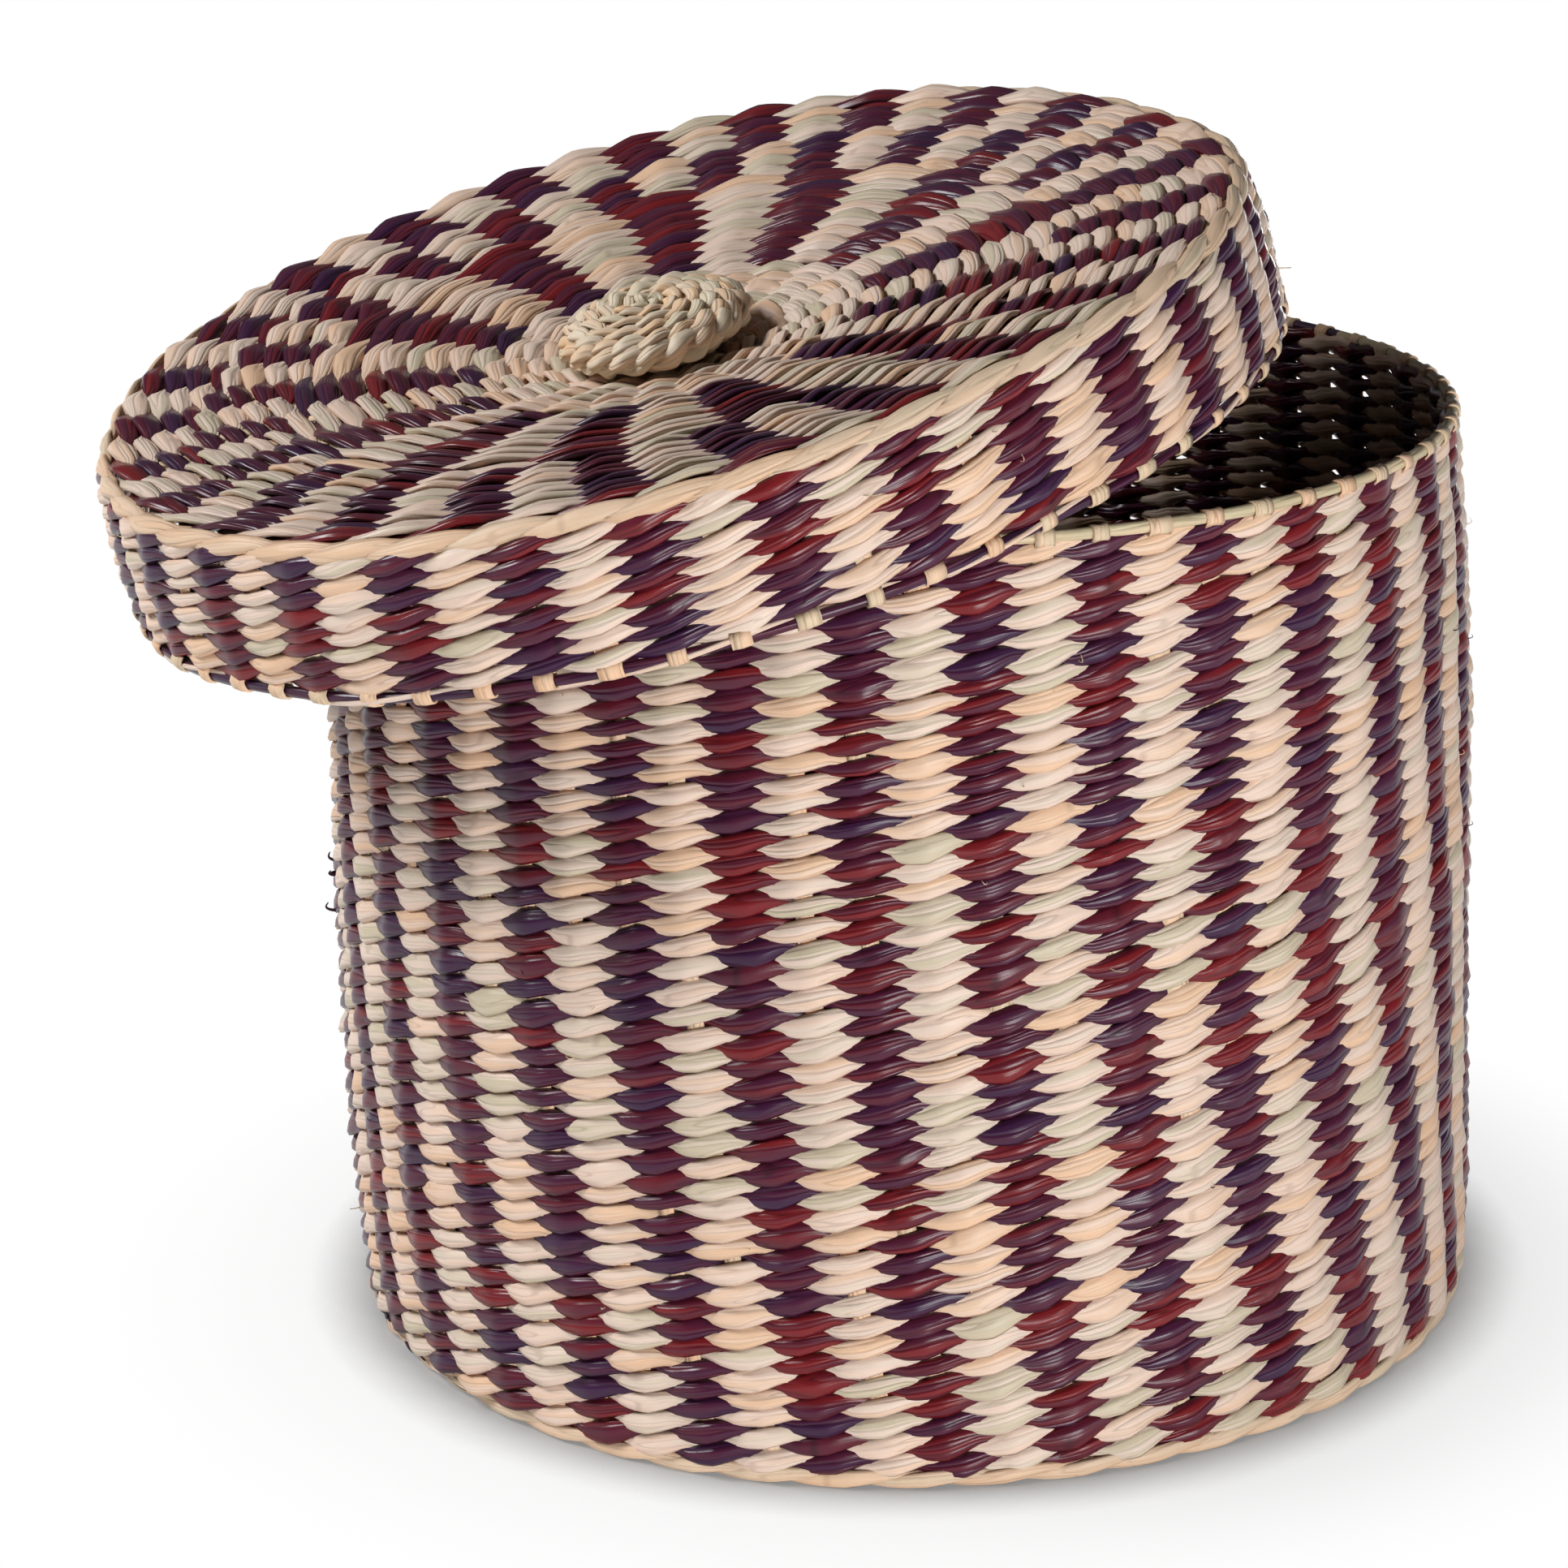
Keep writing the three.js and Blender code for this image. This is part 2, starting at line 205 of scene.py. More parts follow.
# %% What a row is
@dataclass
class Row:
    """One row of two strands. A stitch is what shows of a strand between two dives."""

    radius: float                    # of the row's middle line
    height: float
    facing: float = 0                # where the outside faces: 0 is away from the axis, a quarter turn is up
    stakes: int = wall_stakes
    turn: float = 0                  # where the middle of the first stitch of strand 0 lies
    half_width: float = 2.45 * mm    # of a stitch where it crosses a stake
    squeezed: bool = True            # False where the strand keeps its width all the way
    half_thickness: float = 1.05 * mm
    reach: float = 1.1 * mm          # how far the strands swing out and in
    sway: float = 1.3 * mm           # how far they swing sideways
    tuck: float = 0.24               # how much a stitch leans under the next row
    twisted: bool = False            # True where the strand's flat side turns with it, as in a rope
    uneven: float = 1.0              # how much the hand shows


test_row = Row(radius=wall_outside(0.1), height=0.1)
strand_depth = test_row.reach + test_row.half_thickness
stitch_length = 1.5 * 2 * math.pi * test_row.radius / wall_stakes
print("a stitch of the wall is about", round(stitch_length / mm), "mm long")

# %% Waves and widths along a strand
squeeze_angles = np.radians([0, 45, 90, 130, 180])     # 0 is over a stake, 90 the crossing, 180 behind one
squeeze_widths = [1, 0.9, 0.72, 0.62, 1.1]             # as shares of the half width


def tent(angle, sharpness=0.96):
    """A wave that is high and low where the sine is, but with straight flanks and small round tops."""
    return np.arcsin(sharpness * np.sin(angle)) / math.asin(sharpness)


def wander(size, smoothness, dice):
    """Random numbers of spread one that change slowly along a closed row."""
    waves = np.fft.rfft(dice.standard_normal(size))
    waves *= np.exp(-np.arange(len(waves)) * smoothness / size)
    line = np.fft.irfft(waves, size)
    return line / line.std()


def bell(value, middle, width):
    """One at the middle, falling smoothly to nothing on both sides."""
    return np.exp(-(((value - middle) / width) ** 2))


print("a strand's tail is", min(squeeze_widths), "times as wide as its stitch")

# %% The two strands of a row
width_spread = 0.12          # how much stitches differ: in width, as a share,
slant_spread = 0.09          # in slant,
out_spread = 0.2 * mm        # in how far they stand out,
side_spread = 0.26 * mm      # in height,
late_spread = 0.6 * mm       # in where they start along the row,
tone_spread = 0.12           # in tone from one to the next,
tone_drift = 0.24            # and in tone that changes slowly along the row
drift_smoothness = 5
edge_shade = 0.6             # how shaded a strand is at its edges and at its tail


def strand(row, which, dice):
    """Where the points of one strand of a row go, each one's stitch tone, and how shaded it is."""
    _, along, around, _, _ = unit_ring(row.stakes)
    stitches = row.stakes // 2
    in_stakes = along * row.stakes / (2 * math.pi) - which
    number = np.floor((in_stakes + 1) / 2)
    phase = math.pi * (in_stakes - 2 * number)
    number = number.astype(int) % stitches
    crest = (1 + np.cos(phase)) / 2
    push = row.uneven * dice.standard_normal((5, stitches))
    wider, prouder, higher, later, rolled = push[:, number] * crest
    width = row.half_width * (np.interp(np.abs(phase), squeeze_angles, squeeze_widths) if row.squeezed else 1)
    across = width * (1 + width_spread * wider) * np.sin(around)
    crown = row.half_thickness * np.cos(around)
    if row.twisted:
        out = (row.reach + crown) * np.cos(phase) - across * np.sin(phase)
        side = (row.reach + crown) * np.sin(phase) + across * np.cos(phase)
    else:
        slant = row.tuck * crest + slant_spread * rolled
        out = row.reach * tent(phase + math.pi / 2) + crown - slant * across
        side = row.sway * tent(phase) + across
    out = out + out_spread * prouder
    side = side + side_spread * higher
    turn = along + row.turn + late_spread * later / row.radius
    towards = math.cos(row.facing), math.sin(row.facing)
    radius = row.radius + out * towards[0] - side * towards[1]
    height = row.height + out * towards[1] + side * towards[0]
    drift = tone_drift * wander(stitches, drift_smoothness, dice)
    tone = 0.5 + drift + tone_spread * dice.standard_normal(stitches)
    # Painted shade: darker towards the strand's edges and towards its tail, where it dives behind the next
    # stitch
    shade = edge_shade * np.sin(around) ** 4 + edge_shade * (1 - crest) ** 1.5
    return turn, radius, height, tone[number].clip(0, 1), shade.clip(0, 1)


test_tone = strand(test_row, 0, np.random.default_rng(0))[3]
print("tones of a row run from", round(test_tone.min(), 2), "to", round(test_tone.max(), 2))

# %% [markdown]
# ## From rows to a piece
# All the rows of one colour join into one mesh, which is cheap, because the same ring is added again for
# each row and only its points are moved. Three things go with the mesh. A UV map follows each strand,
# with real metres along it and across it, so that fibre lines can run lengthwise. One attribute holds
# the stitch's tone. Another says how near a point is to the strand's edge or tail, where the material
# paints shade. The points are worked out round an upright axis, bent by a shape, and then set in their place.

# %% A mesh with its UV map and attributes
scene_objects = bpy.context.scene.collection.objects
uv_step = 0.02       # metres between two strands in the UV map, so that no two look alike


def strand_piece(name, bm, points, uv, attributes, place):
    """A piece from joined strands or strips, its points moved into the frame of place."""
    mesh = bpy.data.meshes.new(name)
    bm.to_mesh(mesh)
    bm.free()
    matrix = np.array(place)
    world = np.concatenate(points) @ matrix[:3, :3].T + matrix[:3, 3]
    mesh.vertices.foreach_set("co", world.astype(np.float32).ravel())
    mesh.uv_layers.new(name="strand").data.foreach_set("uv", np.concatenate(uv).astype(np.float32).ravel())
    for attribute, values in attributes.items():
        data = mesh.attributes.new(attribute, "FLOAT", "POINT").data
        data.foreach_set("value", np.concatenate(values).astype(np.float32))
    mesh.shade_smooth()
    mesh.update()
    piece = bpy.data.objects.new(name, mesh)
    scene_objects.link(piece)
    return piece


def finish_piece(piece, material, slot, body, *nodes):
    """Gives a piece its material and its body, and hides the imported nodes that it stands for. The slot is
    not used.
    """
    piece.data.materials.append(material)
    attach(piece, body)
    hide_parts(*nodes)


print("strands lie", round(uv_step / mm), "mm apart in the UV map")

# %% Joining strands into a piece
first_strand, second_strand, both_strands = (0,), (1,), (0, 1)


def weave(name, rows, strands, shape, place, seed):
    """A piece from the chosen strands of each row. Shape bends its round outline."""
    dice = np.random.default_rng(seed)
    bm = bmesh.new()
    points, uv, tones, shades = [], [], [], []
    for number, (row, which) in enumerate(itertools.product(rows, strands)):
        ring, _, around, corner, corner_along = unit_ring(row.stakes)
        bm.from_mesh(ring)
        turn, radius, height, tone, shade = strand(row, which, dice)
        points.append(shape(turn, radius, height))
        tones.append(tone)
        shades.append(shade)
        across = row.half_width * np.sin(around[corner])
        uv.append(np.stack([corner_along * row.radius + number, across + uv_step * number], 1))
    piece = strand_piece(name, bm, points, uv, {"tone": tones, "shade": shades}, place)
    print(name, "has", len(points), "strands and", 2 * len(piece.data.polygons), "triangles")
    return piece


def round_shape(turn, radius, height):
    """Points from turn, radius and height, truly round. The other shapes build on it."""
    return np.stack([radius * np.cos(turn), radius * np.sin(turn), height], 1)


# %% [markdown]
# ## Materials
# Split sedge dries to a satin straw. Each strand is a leaf blade that was folded lengthwise before it was
# worked, so it has a few creases and many fine fibre lines, all along its length, and each one dries to
# its own tone, from peach to a greenish grey. The dyed strands took up an aubergine dye unevenly, so some
# are more purple and some more red. All of this is made from the strand's own UV map. Noise stretched
# along the strand gives the folds and the fibres: a fold sinks where one noise crosses its middle value,
# and is darkened there with painted shade, and fibres are the high values of a finer one, darker as
# grain. Both press into the surface as bump. The stitch's tone and the folds pick the base colour, and
# the strand's edges and tails are darkened with painted shade.

# %% Colours and helpers for nodes
def linear(hex_colour):
    """An sRGB colour such as 'E3C9A2' as linear red, green, blue and alpha."""
    parts = [int(hex_colour[i : i + 2], 16) / 255 for i in (0, 2, 4)]
    return [c / 12.92 if c <= 0.04045 else ((c + 0.055) / 1.055) ** 2.4 for c in parts] + [1]


def connect(node, **inputs):
    """Links or sets inputs of a node. A value is a number, a colour, a socket, or a node whose first
    output is meant. A name is the editor's with _ for a space, or i and the input's number."""
    for key, value in inputs.items():
        name = key.replace("_", " ")
        socket = node.inputs[int(name[1:])] if name[1:].isdigit() else node.inputs[name]
        if isinstance(value, bpy.types.Node):
            value = value.outputs[0]
        if isinstance(value, bpy.types.NodeSocket):
            node.id_data.links.new(value, socket)
        else:
            socket.default_value = value


def add(owner, kind, settings=None, **inputs):
    """Adds one node, with its settings and links, to a material or to the world."""
    node = owner.node_tree.nodes.new(kind)
    for key, value in (settings or {}).items():
        setattr(node, key, value)
    connect(node, **inputs)
    return node


def new_material(name):
    """A material and its shader."""
    material = bpy.data.materials.new(name)
    material.use_nodes = True
    return material, material.node_tree.nodes["Principled BSDF"]


print("pale straw in linear light:", [round(c, 3) for c in linear("E9D0BD")[:3]])

# %% Split sedge, natural or dyed
fold_width = 2.0 * mm        # from one fold of a blade to the next
fold_length = 26 * mm
fibre_width = 0.45 * mm      # real fibres are finer, but would not show in the picture
crease_edge = 0.032          # how far from its middle value the fold noise still darkens
fibre_from, fibre_to = 0.45, 0.8     # between these values of its noise a fibre grows darker,
fibre_depth = 0.22           # up to this share of the crease's colour
fold_tone = 1.1              # how much the tone follows the folds
fold_relief = 0.14           # how high the land between two creases stands, in the noise's own values
fibre_relief = 0.12          # how deep a fibre lies, as a share of its darkness
relief_height = 1.2 * mm     # what a relief of one stands for
sedge_ior = 1.45


def sedge(name, tones, shade_and_fibre_colour, crease_shade_depth, roughness, specular, edge_shade_depth=0.3):
    """Split sedge. Tones are ramp stops over the stitch's tone. The dark colour is painted shade in the
    folds, at the edges and at the tails, and the colour of the fibre lines.
    """
    material, shader = new_material(name)
    uv = add(material, "ShaderNodeUVMap", {"uv_map": "strand"})
    tone = add(material, "ShaderNodeAttribute", {"attribute_name": "tone"}).outputs["Fac"]
    edge = add(material, "ShaderNodeAttribute", {"attribute_name": "shade"}).outputs["Fac"]
    noises = []
    for width, detail in ((fold_width, 0.0), (fibre_width, 1.0)):
        stretched = add(material, "ShaderNodeMapping", Vector=uv, Scale=(1 / fold_length, 1 / width, 1))
        noises.append(add(material, "ShaderNodeTexNoise", Vector=stretched, Scale=1.0, Detail=detail))
    folds, fibres = noises

    off_fold = add(material, "ShaderNodeMath", {"operation": "SUBTRACT"}, i0=folds, i1=0.5)
    off_fold = add(material, "ShaderNodeMath", {"operation": "ABSOLUTE"}, i0=off_fold)
    # Painted shade in the creases: the colour darkens where the fold noise crosses its middle value, where
    # the bump sinks
    crease_shade = add(
        material,
        "ShaderNodeMapRange",
        {"interpolation_type": "SMOOTHSTEP"},
        Value=off_fold,
        From_Min=0.0,
        From_Max=crease_edge,
        To_Min=crease_shade_depth,
        To_Max=0.0,
    )
    fibre = add(
        material,
        "ShaderNodeMapRange",
        Value=fibres,
        From_Min=fibre_from,
        From_Max=fibre_to,
        To_Max=fibre_depth,
    )

    toned = add(material, "ShaderNodeMath", {"operation": "MULTIPLY_ADD"}, i0=folds, i1=fold_tone, i2=tone)
    toned = add(material, "ShaderNodeMath", {"operation": "SUBTRACT"}, i0=toned, i1=fold_tone / 2)
    base = add(material, "ShaderNodeValToRGB", Fac=toned)
    stops = base.color_ramp.elements
    while len(stops) < len(tones):
        stops.new(0.5)
    for stop, (position, colour) in zip(stops, tones):
        stop.position = position
        stop.color = linear(colour)
    # Painted shade at the strand's edges and tail, from the shade attribute, joins the painted crease shade
    # and the fibre grain; the darkest of them pulls the colour towards the dark colour
    edge = add(material, "ShaderNodeMath", {"operation": "MULTIPLY"}, i0=edge, i1=edge_shade_depth)
    darker = add(material, "ShaderNodeMath", {"operation": "MAXIMUM"}, i0=crease_shade, i1=fibre)
    darker = add(material, "ShaderNodeMath", {"operation": "MAXIMUM"}, i0=darker, i1=edge)
    dark = linear(shade_and_fibre_colour)
    colour = add(material, "ShaderNodeMix", {"data_type": "RGBA"}, i0=darker, i6=base, i7=dark).outputs[2]

    relief = add(material, "ShaderNodeMath", {"operation": "MINIMUM"}, i0=off_fold, i1=fold_relief)
    relief = add(
        material, "ShaderNodeMath", {"operation": "MULTIPLY_ADD"}, i0=fibre, i1=-fibre_relief, i2=relief
    )
    bump = add(material, "ShaderNodeBump", Height=relief, Distance=relief_height, Strength=1.0)
    connect(shader, Base_Color=colour, Normal=bump)
    connect(shader, Roughness=roughness, IOR=sedge_ior, Specular_IOR_Level=specular)
    return material


# %% The six kinds of sedge
# Sedge, split and dried: satin, so that each stitch has a soft highlight and its own straw tone
natural_sedge = sedge(
    "natural_split_sedge",
    (
        (0.0, "EAC4A4"),
        (0.15, "EACAB0"),
        (0.45, "EBD1C0"),
        (0.72, "E5D1C1"),
        (0.92, "DBCCB7"),
        (1.0, "D0C3AA"),
    ),
    shade_and_fibre_colour="7E5E48",
    crease_shade_depth=0.3,
    roughness=0.4,
    specular=0.28,
    edge_shade_depth=0.42,
)
# The same in broader, yellower blades, and paler, which partly paints the brighter light on the knob: duller,
# with clear dark lines of painted shade between the stitches
knob_sedge = sedge(
    "natural_knob_sedge",
    ((0.0, "F0CBA4"), (0.4, "F0DAC0"), (0.75, "EDDEC6"), (1.0, "E2D6BA")),
    shade_and_fibre_colour="9A7B60",
    crease_shade_depth=0.3,
    roughness=0.48,
    specular=0.28,
    edge_shade_depth=0.45,
)
# Sedge boiled in dye, which closes its surface: dark stitches, smoother than the natural ones and glossier
dyed_sedge = sedge(
    "aubergine_dyed_sedge",
    ((0.0, "3B193C"), (0.25, "481936"), (0.55, "531930"), (0.82, "631926"), (1.0, "7A1B20")),
    shade_and_fibre_colour="12060C",
    crease_shade_depth=0.5,
    roughness=0.3,
    specular=0.4,
    edge_shade_depth=0.6,
)
# Sedge twisted into a cord: rubbed and a little dull, with painted shade in the grooves between its two
# strands
cord_sedge = sedge(
    "natural_sedge_cord",
    ((0.0, "E4C09F"), (0.5, "E2C7AC"), (1.0, "D5C5A9")),
    shade_and_fibre_colour="8E6B52",
    crease_shade_depth=0.3,
    roughness=0.45,
    specular=0.3,
    edge_shade_depth=0.5,
)
# Sedge left flat as a stake: matt, and darker in its creases with painted shade, which sets the folds at the
# rim off from the weave
stake_sedge = sedge(
    "natural_sedge_stake",
    ((0.0, "E9BF9C"), (0.5, "E6C6A8"), (1.0, "D9C5A6")),
    shade_and_fibre_colour="94704F",
    crease_shade_depth=0.5,
    roughness=0.55,
    specular=0.3,
)
# Sedge rolled into a rod: greener and greyer than the strands, so that the rim reads as a line of its own
rod_sedge = sedge(
    "natural_sedge_rod",
    ((0.0, "D9C4A2"), (0.5, "CFC2A0"), (1.0, "C3BB9A")),
    shade_and_fibre_colour="7E7050",
    crease_shade_depth=0.45,
    roughness=0.4,
    specular=0.3,
)
sedges = natural_sedge, knob_sedge, dyed_sedge, cord_sedge, stake_sedge, rod_sedge
print("materials:", ", ".join(material.name for material in sedges))

# %% [markdown]
# ## The wall
# The stakes of a twined basket don't stand upright. Each row pulls them a little to one side, so the
# coloured columns lean, more near the base than near the rim. The rows lie closer together near the rim,
# they rise and fall by up to a millimetre on their way round, and the wall bulges or gives where a hand
# pressed it. The foot stands out on the right and in front, and is drawn in on the left. The wall is
# split into a lower and an upper half, so that no single mesh grows too heavy.

# %% Outline of the wall
foot_out = 0.7 * mm          # how far the foot stands out all round,
foot_out_right = 0.7 * mm    # how much more on the right
foot_out_front = 1.0 * mm    # and in front,
foot_in_left = 1.9 * mm      # and how far it is drawn in on the left
foot_fade = 30 * mm
dent_depth = 1.1 * mm        # of a broad dent on the right
dent_height = 115 * mm
dent_size = 55 * mm


def foot_push(turn):
    """How far the foot stands out from the round."""
    right, left = np.maximum(np.cos(turn), 0), np.maximum(-np.cos(turn), 0)
    return foot_out + foot_out_right * right - foot_out_front * np.sin(turn) - foot_in_left * left**4


def wall_shape(turn, radius, height):
    """Lets the rows rise and fall, and the wall bulge or give, as hand work does. Two to thirteen waves go
    round, their sizes are in mm, and some of them turn with the height."""
    rise = 0.45 * np.sin(2 * turn + 1.1) + 0.3 * np.sin(5 * turn + 30 * height) + 0.2 * np.sin(9 * turn)
    bulge = 0.9 + 0.7 * np.cos(2 * turn) + 0.4 * np.sin(3 * turn + 18 * height)
    bulge = bulge + 0.4 * np.sin(7 * turn - 45 * height + 2) + 0.2 * np.sin(13 * turn + 70 * height)
    dent = dent_depth * np.maximum(np.cos(turn), 0) * bell(height, dent_height, dent_size)
    fade = np.clip(np.minimum(height - wall_bottom + 8 * mm, wall_top - height) / (25 * mm), 0, 1)
    radius = radius + (bulge * mm - dent) * fade + foot_push(turn) * bell(height, 0, foot_fade)
    return round_shape(turn, radius, height + rise * fade * mm)


foot_right, foot_left = round(foot_push(0) / mm, 1), round(foot_push(math.pi) / mm, 1)
print("the foot stands out by", foot_right, "mm on the right and by", foot_left, "on the left")

# %% Rows of the wall
pitch_heights = np.array([0, 60, 100, 165, 206]) * mm
pitches = np.array([4.6, 4.7, 4.9, 4.2, 4.25]) * mm    # from row to row, at these heights
first_row_lift = 1.1 * mm
last_row_lift = 0.2 * mm                   # how far over the wall's top a row may still lie
column_turn = math.radians(0.45)           # a natural column at the foot
column_lean = math.radians(8.8)            # how far the columns turn back on their way up
lean_height = 180 * mm


def wall_turn(height):
    """How far the columns have turned at a height."""
    share = np.clip(height / lean_height, 0, 1)
    return column_turn - column_lean * (1 - (1 - share) ** 2)


row_dice = np.random.default_rng(7)
wall_rows = []
height = wall_bottom + first_row_lift
while height < wall_top + last_row_lift:
    pitch = np.interp(height, pitch_heights, pitches) * row_dice.uniform(0.93, 1.07)
    wall_rows.append(
        Row(
            radius=wall_outside(height) - strand_depth,
            height=height,
            turn=wall_turn(height) + math.radians(row_dice.normal(0, 0.22)),
            half_width=0.555 * pitch,
            sway=0.29 * pitch,
        )
    )
    height += pitch
below_top = round((wall_top - wall_rows[-1].height) / mm, 1)
print("the wall has", len(wall_rows), "rows, the last one", below_top, "mm below its top")

# %% Weaving the wall
def striped_weave(name, rows, shape, place, seeds, body, node):
    """Two pieces from the same rows: natural strands and dyed ones. The name has {} for the colour."""
    colours = ("natural", first_strand, natural_sedge), ("dyed", second_strand, dyed_sedge)
    for (colour, strands, material), seed in zip(colours, seeds):
        piece = weave(name.format(colour), rows, strands, shape, place, seed)
        finish_piece(piece, material, "striped_weave", body, node)


middle_row = len(wall_rows) // 2
for half, rows in (("lower", wall_rows[:middle_row]), ("upper", wall_rows[middle_row:])):
    striped_weave("wall_{}_" + half, rows, wall_shape, basket_place, (5, 95), "basket", "wall_weave")

# %% [markdown]
# ## Cord round the foot
# The base is closed by a plain cord: two natural strands twisted round each other and pressed flat
# against the edge. It is the same row as before, only flatter and with long stitches, so the two strands
# lie nearly along the cord and meet in slanting grooves. It follows the foot of the wall, out on the
# right and in on the left.

# %% A cord as a row
def cord_row(ring_radius, height, facing, half_width):
    """A flat two-strand cord round the axis. Facing is the direction of its broad side, in degrees."""
    return Row(
        radius=ring_radius,
        height=height,
        facing=math.radians(facing),
        stakes=48,
        half_width=half_width,
        half_thickness=0.45 * half_width,
        reach=0.32 * half_width,
        sway=0.4 * half_width,
        tuck=0.1,
        uneven=0.5,
    )


def hoop_of(node, place):
    """The middle radius, the height and the section radius of a packed ring."""
    height, radius = outline(node, place)
    section = (radius.max() - radius.min()) / 2
    return (radius.max() + radius.min()) / 2, (height.max() + height.min()) / 2, section


foot_ring, foot_height, foot_cord = hoop_of("foot_cord", basket_place)
print("the packed cord of the foot is", round(2 * foot_cord / mm, 1), "mm thick")

# %% Foot cord
floor_gap = 0.05 * mm
cord_proud = 1.0 * mm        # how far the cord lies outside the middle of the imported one
cord_hidden = 2.4 * mm       # how far it is drawn in under the wall on the left


def floor_shape(turn, radius, height):
    """Round, and pressed flat where it would sink into the floor."""
    return round_shape(turn, radius, np.maximum(height, floor_gap))


def foot_shape(turn, radius, height):
    """The cord follows the foot of the wall, and hides under it on the left."""
    under = cord_hidden * np.maximum(-np.cos(turn), 0) ** 2
    return floor_shape(turn, radius + foot_push(turn) - under, height)


foot_row = cord_row(foot_ring + cord_proud, foot_height, facing=-8, half_width=0.85 * foot_cord)
foot = weave("foot_cord_strands", [foot_row], both_strands, foot_shape, basket_place, seed=40)
finish_piece(foot, cord_sedge, "natural_cord", "basket", "foot_cord")

# %% [markdown]
# ## Base
# The base is a flat disc of the same twining, seen only when the basket is lifted. Its rows face the
# floor, its middle is left natural, and new stakes are laid in on the way out, as on the lid. So it is
# made of zones, each with its own number of stakes.

# %% Rows of the base
base_depth = 1.2 * mm
base_edge = foot_ring - foot_cord
base_reach = base_edge + 2.6 * mm      # the last row goes on under the wall, which closes the corner
base_rosette_edge = 42 * mm


def base_rows(inner, outer, stakes, count):
    """Rows of the flat base between two radii, facing down."""
    pitch = (outer - inner) / count
    return [
        Row(
            radius=inner + pitch * (number + 0.5),
            height=base_depth + 0.1 * mm,
            facing=-math.pi / 2,
            stakes=stakes,
            turn=column_turn,
            half_width=0.56 * pitch,
            half_thickness=0.5 * mm,
            reach=base_depth - 0.5 * mm,
            sway=0.28 * pitch,
        )
        for number in range(count)
    ]


def rosette_zones(edge):
    """The natural middle of the base or the lid: inner and outer radius, stakes and rows of each zone."""
    return (
        (0.6 * mm, 3 * mm, 4, 1),
        (3 * mm, 12 * mm, 8, 2),
        (12 * mm, 25 * mm, 14, 3),
        (25 * mm, edge, 22, 4),
    )


base_zones = (
    (base_rosette_edge, 84 * mm, 26, 8),
    (84 * mm, 106 * mm, 48, 5),
    (106 * mm, base_reach, wall_stakes, 4),
)
base_middle = [row for zone in rosette_zones(base_rosette_edge) for row in base_rows(*zone)]
base_outer = [row for zone in base_zones for row in base_rows(*zone)]
print("the base has", len(base_middle), "natural rows and", len(base_outer), "striped ones")

# %% Weaving the base
striped_weave("base_{}", base_outer, floor_shape, basket_place, (41, 42), "basket", "base_weave")
base_star = weave("base_rosette_natural", base_middle, both_strands, floor_shape, basket_place, seed=43)
finish_piece(base_star, natural_sedge, "natural_weave", "basket", "base_rosette")

# %% [markdown]
# ## Stakes
# The stakes are flat strips inside the weave. They show through small gaps as pale flecks, and at the
# rim each one folds over a rod and tucks in again, which makes the row of pale bands there. A strip is a
# narrow grid whose long side follows a path of radius and height. It is raised a little along its middle
# and then made solid, and one call makes all the strips of a fan.

# %% Strips along a path
stake_width = 4.3 * mm
stake_thickness = 0.45 * mm
stake_crown = 0.18 * mm          # how far its middle is raised
stake_stray = 0.25 * mm          # how far its outer end stands off its place, as a spread
narrowest_ring = 8 * mm          # nearer the axis strips taper, as they have no room for their full width


def stake_fan(name, fans, shape, place, seed):
    """Strips from (path, count, turn) fans. A path is rows of radius and height. Turn gives the azimuth."""
    dice = np.random.default_rng(seed)
    bm = bmesh.new()
    points, uv, tones = [], [], []
    for path, count, turn in fans:
        path = np.array(path)
        ahead = np.gradient(path, axis=0)
        ahead /= np.linalg.norm(ahead, axis=1, keepdims=True)
        length = np.concatenate([[0], np.linalg.norm(np.diff(path, axis=0), axis=1).cumsum()])
        strip = bmesh.new()
        bmesh.ops.create_grid(strip, x_segments=2, y_segments=len(path) - 1, size=1)
        across, along = np.array([[v.co.x, v.co.y] for v in strip.verts]).T
        loops = [loop.vert.index for face in strip.faces for loop in face.loops]
        strip_mesh = bpy.data.meshes.new("strip")
        strip.to_mesh(strip_mesh)
        strip.free()
        step = ((along + 1) / 2 * (len(path) - 1)).round().astype(int)
        crown = stake_crown * (1 - across**2)
        radius = path[step, 0] + crown * ahead[step, 1]
        height = path[step, 1] - crown * ahead[step, 0]
        for number in range(count):
            bm.from_mesh(strip_mesh)
            side = across * stake_width / 2 * dice.uniform(0.8, 1.2)
            stray = dice.normal(0, stake_stray) / path[-1, 0]
            azimuth = 2 * math.pi * number / count + turn(path[step, 1]) + stray
            points.append(shape(azimuth + side / np.maximum(radius, narrowest_ring), radius, height))
            tones.append(np.full(len(across), dice.uniform()))
            uv.append(np.stack([length[step] + number, side + uv_step * number], 1)[loops])
        bpy.data.meshes.remove(strip_mesh)
    piece = strand_piece(name, bm, points, uv, {"tone": tones}, place)
    solid = piece.modifiers.new("thickness", "SOLIDIFY")
    solid.thickness = stake_thickness
    solid.offset = 0
    print(name, "has", sum(count for _, count, _ in fans), "strips")
    return piece


# %% Stakes of the basket, folded over the rod at the rim
rod_radius = 1.3 * mm
fold_squeeze = 0.05 * mm         # how far the fold presses into the rod
rim_ring, rim_height, _ = hoop_of("basket_rim_rod", basket_place)


